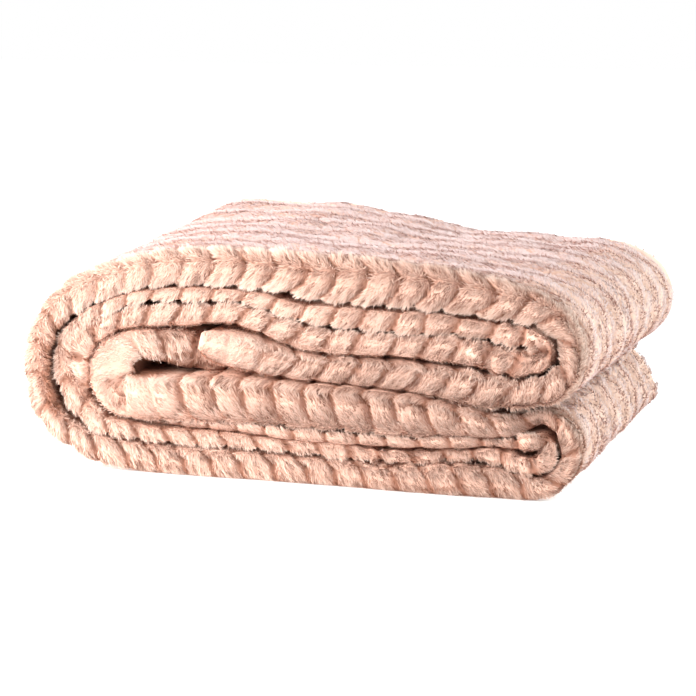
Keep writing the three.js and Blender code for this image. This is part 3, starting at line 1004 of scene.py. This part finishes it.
def pile(name, band, areas, material, seed):
    """Blades of pile standing on the band's skin, one triangle each."""
    rng = np.random.default_rng(seed)
    s, w = sown(areas, rng)
    kept = grown(band, s, w, rng)
    s, w = s[kept], w[kept]
    count = len(s)
    root = skin(band, s, w)
    along = skin(band, s + PROBE, w) - skin(band, s - PROBE, w)
    across = skin(band, s, w + PROBE) - skin(band, s, w - PROBE)
    normal = unit(np.cross(across, along))
    spots = Spots(band, s, w, seed)
    lie = laid(spots, along, across, normal, rng)
    rise = PILE["rise"] + PILE["rise_spread"] * rng.standard_normal(count)
    rise = np.radians(rise + PARTING["rise"] * spots.parting)
    blade = lie * np.cos(rise)[:, None] + normal * np.sin(rise)[:, None]
    blade = blade * lengths(spots, rng)[:, None]
    side = unit(np.cross(blade, normal))
    roll = rng.uniform(-PILE_SPREAD["roll"], PILE_SPREAD["roll"], count)
    side = side * np.cos(roll)[:, None] + normal * np.sin(roll)[:, None]
    half = PILE["width"] / 2 * rng.uniform(*PILE_SPREAD["width"], count)[:, None]
    root = root - normal * PILE["sunk"]
    points = np.stack([root - side * half, root + side * half, root + blade], 1)
    return blades(name, points, normal, fullness_and_shade(spots), tones(spots, rng), spots.face, material)


def fold_roots(rings, rng):
    """Random places on the fold that joins the bands, the ways to face and how full they are, with no
    painted shade.
    """
    fold = np.array([ring[0] for ring in rings])
    at = rng.integers(0, len(fold) - 1, FOLD_BLADES)
    piece = rng.integers(0, fold.shape[1] - 1, FOLD_BLADES)
    t, u = rng.random((2, FOLD_BLADES, 1))
    near = mix(fold[at, piece], fold[at, piece + 1], t)
    root = mix(near, mix(fold[at + 1, piece], fold[at + 1, piece + 1], t), u)
    return root, unit(root - fold[at][:, [0, -1]].mean(1)), np.ones(FOLD_BLADES)


def hem_roots(band, rng):
    """The same on the back edges of a band's plies, darker with painted shade towards the slit."""
    count = round(band.length * 2 * band.half.mean() / HEM_PILE["spacing"] ** 2)
    s = rng.uniform(0, band.length, count)
    n = rng.uniform(-HEM_TILT["range"], HEM_TILT["range"], count)
    root = inside(band, s, BACK - HEM_SUNK, n)
    aside = unit(inside(band, s, BACK - HEM_SUNK, n + 0.1) - root)
    out = unit(inside(band, s, BACK + 4, n) - root) + aside * (HEM_TILT["by"] * n**3)[:, None]
    return root, unit(out), mix(HEM_LOOK["full"], 1, smooth(*HEM_LOOK["full_to"], np.abs(n)))


def hem_pile(name, bands, rings, material, seed):
    """Short blades on the back edges of the plies and on the fold that joins the bands."""
    rng = np.random.default_rng(seed)
    rows = [fold_roots(rings, rng), *(hem_roots(band, rng) for band in bands)]
    root, normal, full = (np.concatenate(column) for column in zip(*rows))
    count = len(root)
    blade = unit(normal + HEM_PILE["spread"] * rng.standard_normal((count, 3)))
    blade = blade * (HEM_PILE["length"] * rng.uniform(*HEM_PILE["lengths"], count))[:, None]
    side = unit(np.cross(blade, rng.standard_normal((count, 3)))) * HEM_PILE["width"] / 2
    points = np.stack([root - side, root + side, root + blade], 1)
    tone = np.clip(HEM_LOOK["tone"] + HEM_LOOK["spread"] * rng.standard_normal(count), -1, 1)
    face = np.full(count, HEM_LOOK["face"])
    return blades(name, points, normal, full, 0.5 + 0.5 * tone, face, material, HEM_LOOK["base"])


def unit(v):
    return v / np.linalg.norm(v, axis=-1, keepdims=True)


def blades(name, points, normal, full, tone, face, material, base=0.0):
    """A piece of one triangle to a blade, with what its material reads at each of them."""
    count = len(points)
    points[:, :, 2] = np.maximum(points[:, :, 2], CLEAR)
    flat = unit(np.cross(points[:, 1] - points[:, 0], points[:, 2] - points[:, 0]))
    back = np.sum(flat * normal, 1) < 0
    points[back] = points[back][:, [1, 0, 2]]
    flat[back] *= -1
    mesh = bpy.data.meshes.new(name)
    mesh.vertices.add(3 * count)
    mesh.vertices.foreach_set("co", ((points + SHIFT) * MM).ravel())
    mesh.loops.add(3 * count)
    mesh.loops.foreach_set("vertex_index", np.arange(3 * count))
    mesh.polygons.add(count)
    mesh.polygons.foreach_set("loop_start", np.arange(count) * 3)
    mesh.polygons.foreach_set("use_smooth", np.ones(count, bool))
    mesh.update(calc_edges=True)
    bent = unit(mix(flat, normal, PILE["soft"]))
    mesh.normals_split_custom_set_from_vertices(np.repeat(bent, 3, 0).tolist())
    # What the material reads: tip, for painted shade towards each blade's root; full, for painted
    # shade; tone, random, with painted shade in the dusk stretches; face, the share of painted cool
    # light
    for label, value in (
        ("tip", np.tile([base, base, 1.0], count)),
        ("full", np.repeat(full, 3)),
        ("tone", np.repeat(tone, 3)),
        ("face", np.repeat(face, 3)),
    ):
        mesh.attributes.new(label, "FLOAT", "POINT").data.foreach_set("value", value)
    side = math.ceil(math.sqrt(count))
    cell = np.stack([np.arange(count) % side, np.arange(count) // side], 1)
    uv = (cell[:, None, :] + np.array(BAKE_CORNERS)[None]) / side
    mesh.uv_layers.new(name="OFBake").data.foreach_set("uv", uv.ravel())
    mesh.materials.append(material)
    return placed(name, mesh)


def shader(name):
    material = bpy.data.materials.new(name)
    material.use_nodes = True
    nodes = material.node_tree.nodes
    return material, nodes, material.node_tree.links, nodes["Principled BSDF"]


def set_inputs(node, values):
    for name, value in values.items():
        node.inputs[name].default_value = value


def attribute(nodes, name):
    node = nodes.new("ShaderNodeAttribute")
    node.attribute_name = name
    return node.outputs["Fac"]


def ramp(nodes, links, source, stops):
    node = nodes.new("ShaderNodeValToRGB")
    elements = node.color_ramp.elements
    while len(elements) < len(stops):
        elements.new(0.5)
    for element, (place, colour) in zip(elements, stops):
        element.position = place
        element.color = (*colour, 1)
    links.new(source, node.inputs["Fac"])
    return node.outputs["Color"]


def multiply(nodes, links, a, b):
    node = nodes.new("ShaderNodeMix")
    node.data_type = "RGBA"
    node.blend_type = "MULTIPLY"
    node.inputs["Factor"].default_value = 1
    links.new(a, node.inputs["A"])
    links.new(b, node.inputs["B"])
    return node.outputs["Result"]


def pile_material():
    material, nodes, links, body = shader("plush pile")
    tip, tone, full, face = (
        ramp(nodes, links, attribute(nodes, name), stops) for name, stops in PILE_RAMPS.items()
    )
    # The blade's colour, with its painted shade and the painted cool light of the faces
    shade = multiply(nodes, links, multiply(nodes, links, tone, full), face)
    links.new(multiply(nodes, links, tip, shade), body.inputs["Base Color"])
    set_inputs(body, PLUSH)
    return material


def ground_material():
    material, nodes, links, body = shader("plush ground")
    # The cloth's colour, with its painted shade
    full = ramp(nodes, links, attribute(nodes, "full"), GROUND_RAMP)
    links.new(full, body.inputs["Base Color"])
    set_inputs(body, MATT)
    return material


def floor():
    mesh = bpy.data.meshes.new("floor")
    corners = [(x * FLOOR_HALF, y * FLOOR_HALF, 0) for x, y in ((-1, -1), (1, -1), (1, 1), (-1, 1))]
    mesh.from_pydata(corners, [], [(0, 1, 2, 3)])
    material, _, _, body = shader("floor")
    set_inputs(body, {**MATT, **FLOOR})
    mesh.materials.append(material)
    piece = placed("floor", mesh)
    piece.location.z = -FLOOR_GAP


def lights():
    world = bpy.data.worlds.new("studio")
    world.use_nodes = True
    set_inputs(world.node_tree.nodes["Background"], WORLD)
    bpy.context.scene.world = world
    for name, place, size, power, colour in LIGHTS:
        data = bpy.data.lights.new(name, "AREA")
        data.shape = "DISK"
        data.size = size
        data.energy = power
        data.color = colour
        lamp = placed(name, data)
        lamp.location = place
        lamp.rotation_euler = (Vector(LIT_POINT) - lamp.location).to_track_quat("-Z", "Y").to_euler()


def ground(outer, inner, fold):
    """The cloth below the pile: both bands and the fold between them, as one piece."""
    begin = outer.start
    shows = [
        (begin["upper_fold"] - 90, begin["bottom"] + 30),
        (begin["lower_fold"] - 30, begin["middle"] + 70),
    ]
    points, faces, shades = [], [], []
    for rings in (band_rings(outer, shows), band_rings(inner, []), fold):
        shades.append(np.concatenate([ring[2] for ring in rings]))
        p, f = stitch_rings(rings)
        base = sum(len(q) for q in points)
        faces.extend([[v + base for v in face] for face in turned_out(p, f)])
        points.append(p)
    mesh = bpy.data.meshes.new("blanket")
    mesh.from_pydata(((np.concatenate(points) + SHIFT) * MM).tolist(), [], faces)
    mesh.polygons.foreach_set("use_smooth", np.ones(len(mesh.polygons), bool))
    mesh.materials.append(ground_material())
    mesh.update()
    full = mesh.attributes.new("full", "FLOAT", "POINT")
    full.data.foreach_set("value", np.concatenate(shades))
    return placed("blanket", mesh)


def pile_pieces(outer, inner, fold):
    """The pile, in one piece for each side from which it shows."""
    hair = pile_material()
    begin, length = outer.start, outer.length
    front, back = NOSE_ARC, DEPTH + PILE_OVERHANG
    top = (begin["top"] - 10, begin["left_turn"] + 10)
    right = [
        (begin["upper_fold"] - 60, top[0], front, back, 1.15),
        (begin["lower_fold"] - 20, begin["middle"] + 50, front, back, 1.15),
    ]
    fronts = [
        (0, length, -30, front, 0.85),
        (0, 80, front, 100, 1.8),
        (begin["middle"] + 150, length, front, 100, 1.8),
    ]
    return [
        pile("pile_top", outer, [(*top, front, back, 1.0)], hair, 101),
        pile("pile_right", outer, right, hair, 102),
        pile("pile_left", outer, [(top[1], begin["bottom"] + 10, front, back, 1.1)], hair, 103),
        pile("pile_front", outer, fronts, hair, 104),
        pile("pile_inner", inner, [(0, inner.length, -26, 26, 0.95)], hair, 105),
        hem_pile("pile_back", [outer, inner], fold, hair, 106),
    ]


def main():
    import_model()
    outer = Band(OUTER_RUNS, OUTER_PATTERN, OUTER_STRETCHES, OUTER_CREASES, 11)
    inner = Band(INNER_RUNS, INNER_PATTERN, INNER_STRETCHES, INNER_CREASES, 23)
    fold = back_fold_rings(outer, inner)
    blanket = ground(outer, inner, fold)
    dressed(blanket)
    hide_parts("throw_blanket")
    pieces = pile_pieces(outer, inner, fold)
    for piece in pieces:
        dressed(piece)

    floor()
    lights()
    bpy.context.scene.view_settings.view_transform = "Standard"
    camera(**VIEW)


main()
